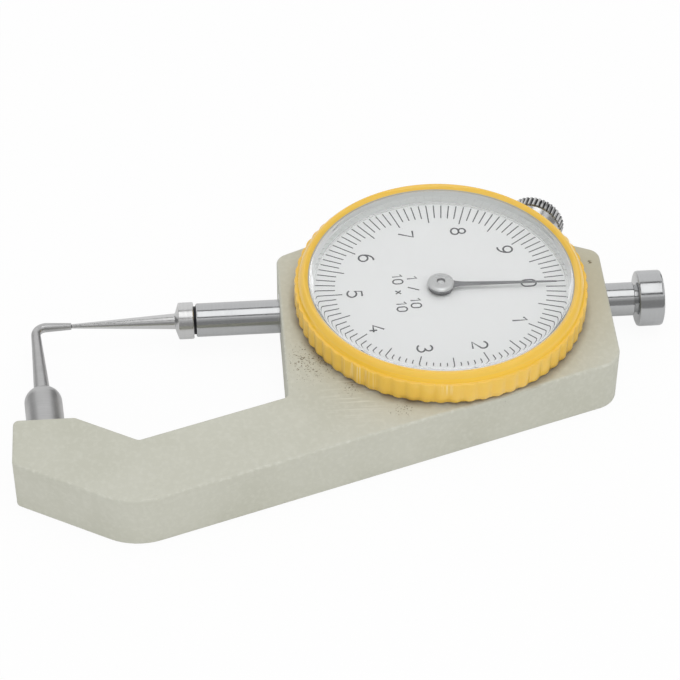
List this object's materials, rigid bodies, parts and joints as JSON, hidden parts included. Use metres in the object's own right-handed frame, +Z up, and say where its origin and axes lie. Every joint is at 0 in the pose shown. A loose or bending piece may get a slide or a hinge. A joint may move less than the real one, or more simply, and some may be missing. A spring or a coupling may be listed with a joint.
{
  "type": "dial_caliper",
  "caption": "Dental dial caliper with a bent fixed anvil, a sliding needle contact, a rack-driven pointer and a turning yellow bezel",
  "frame": {"origin": "On the frame's flat back, under the dial axis", "axes": "+X along the spindle towards the pull cap, +Y away from the finger's side, +Z up out of the dial"},
  "size_m": [0.115, 0.0722, 0.0172],
  "materials": {
    "enamel": "satin warm-grey enamel on a casting",
    "steel": "fine turned steel",
    "polished_steel": "ground and polished steel",
    "black_steel": "blackened steel",
    "spring_steel": "drawn spring steel",
    "brass": "turned brass",
    "yellow_plastic": "moulded yellow plastic",
    "dial_enamel": "flat white print on aluminium",
    "clear_acrylic": "clear moulded acrylic",
    "pointer_grey": "dark grey paint"
  },
  "bodies": {
    "frame": {"frame": "enamel", "left_bush": "steel", "right_bush": "steel", "anvil": "steel", "anvil_set_screw": "black_steel", "spring_post": "steel", "return_spring": "spring_steel", "movement_plate": "brass", "plate_screws": "steel", "lower_bush": "brass", "upper_bush": "brass", "hairspring": "spring_steel", "hairspring_stud": "steel", "bezel_snap_ring": "spring_steel"},
    "spindle": {"spindle": "polished_steel", "contact_point": "steel", "pull_cap": "polished_steel", "guide_pin": "steel", "spring_pin": "steel"},
    "pointer": {"pinion_arbor": "steel", "hairspring_collet": "brass", "pointer_hub": "steel", "pointer_needle": "pointer_grey"},
    "bezel": {"bezel": "yellow_plastic", "dial": "dial_enamel", "crystal": "clear_acrylic"},
    "lock_pad": {"lock_pad": "brass"},
    "lock_screw": {"lock_screw": "steel"}
  },
  "joints": [
    {"name": "spindle_slide", "type": "slide", "parent": "frame", "child": "spindle", "axis": [1, 0, 0], "range_m": [0, 0.01], "stiffness_N_per_m": 60, "springref_m": -0.01, "deforming": ["return_spring"]},
    {"name": "pointer_turn", "type": "hinge", "parent": "frame", "child": "pointer", "pos_m": [0, 0, 0], "axis": [0, 0, 1], "range_deg": [-361, 1], "deforming": ["hairspring"]},
    {"name": "bezel_turn", "type": "hinge", "parent": "frame", "child": "bezel", "pos_m": [0, 0, 0], "axis": [0, 0, 1], "continuous": true},
    {"name": "lock_feed", "type": "slide", "parent": "frame", "child": "lock_pad", "axis": [-0.4067, -0.9135, 0], "range_m": [-0.0005, 0.000289]},
    {"name": "lock_turn", "type": "hinge", "parent": "lock_pad", "child": "lock_screw", "pos_m": [0.0108, 0.00384, 0.00535], "axis": [-0.4067, -0.9135, 0], "range_deg": [-361, 209]}
  ],
  "couplings": [
    {"joint": "pointer_turn", "follows": "spindle_slide", "rad_per_m": -628.32},
    {"joint": "lock_turn", "follows": "lock_feed", "rad_per_m": 12566}
  ]
}
